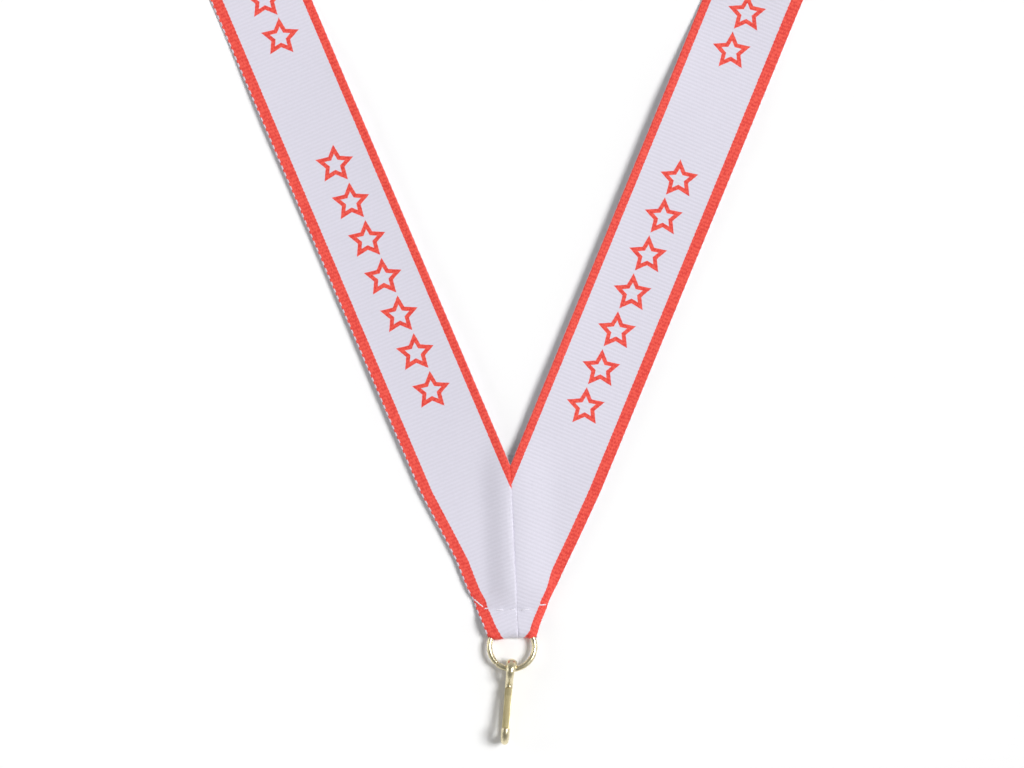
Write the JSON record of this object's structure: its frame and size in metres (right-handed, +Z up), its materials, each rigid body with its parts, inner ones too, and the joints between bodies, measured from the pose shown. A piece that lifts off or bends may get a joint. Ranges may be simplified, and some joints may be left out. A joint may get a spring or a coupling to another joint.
{
  "type": "medal neck ribbon",
  "caption": "Neck ribbon with coloured borders, mitred to a hemmed point that carries a wire jump ring and a snap hook for a medal.",
  "frame": {"origin": "on the table under the middle of the row of stitches that closes the hem above the ring", "axes": "+Z up from the table, +Y from the hook up the ribbon to the neck loop, +X to the right across the ribbon, seen from its printed face"},
  "size_m": [0.1868, 0.3426, 0.022],
  "materials": {
    "ribbon": "white grosgrain with red borders",
    "thread": "white polyester sewing thread",
    "ring_metal": "pale gold plated steel wire",
    "hook_metal": "pale gold plated steel wire",
    "gate_metal": "brushed gold plated spring strip"
  },
  "bodies": {
    "ribbon": {"left_leg": "ribbon", "right_leg": "ribbon", "left_twist": "ribbon", "right_twist": "ribbon", "neck_band": "ribbon", "seam_thread": "thread", "hem_stitches": "thread"},
    "hem": {"hem_loop": "ribbon"},
    "ring": {"jump_ring": "ring_metal"},
    "hook": {"hook_wire": "hook_metal"},
    "gate": {"gate_spring": "gate_metal"}
  },
  "joints": [
    {"name": "hem_flex", "type": "hinge", "parent": "ribbon", "child": "hem", "pos_m": [0, -0.0023, 0.0008], "axis": [1, 0, 0], "range_deg": [-90, 90], "deforming": ["hem_loop"]},
    {"name": "ring_turn", "type": "hinge", "parent": "hem", "child": "ring", "pos_m": [0, -0.00966, 0.00206], "axis": [0, 0.1136, 0.9935], "range_deg": [-70, 70]},
    {"name": "hook_swing", "type": "hinge", "parent": "ring", "child": "hook", "pos_m": [-0.00042, -0.01496, 0.00266], "axis": [0.9969, -0.0785, 0], "range_deg": [-110, 110]},
    {"name": "gate_flex", "type": "hinge", "parent": "hook", "child": "gate", "pos_m": [-0.00091, -0.02122, 0.00339], "axis": [0.9969, -0.0785, 0], "range_deg": [0, 14], "stiffness_Nm_per_rad": 0.05, "springref_deg": -3.44}
  ]
}
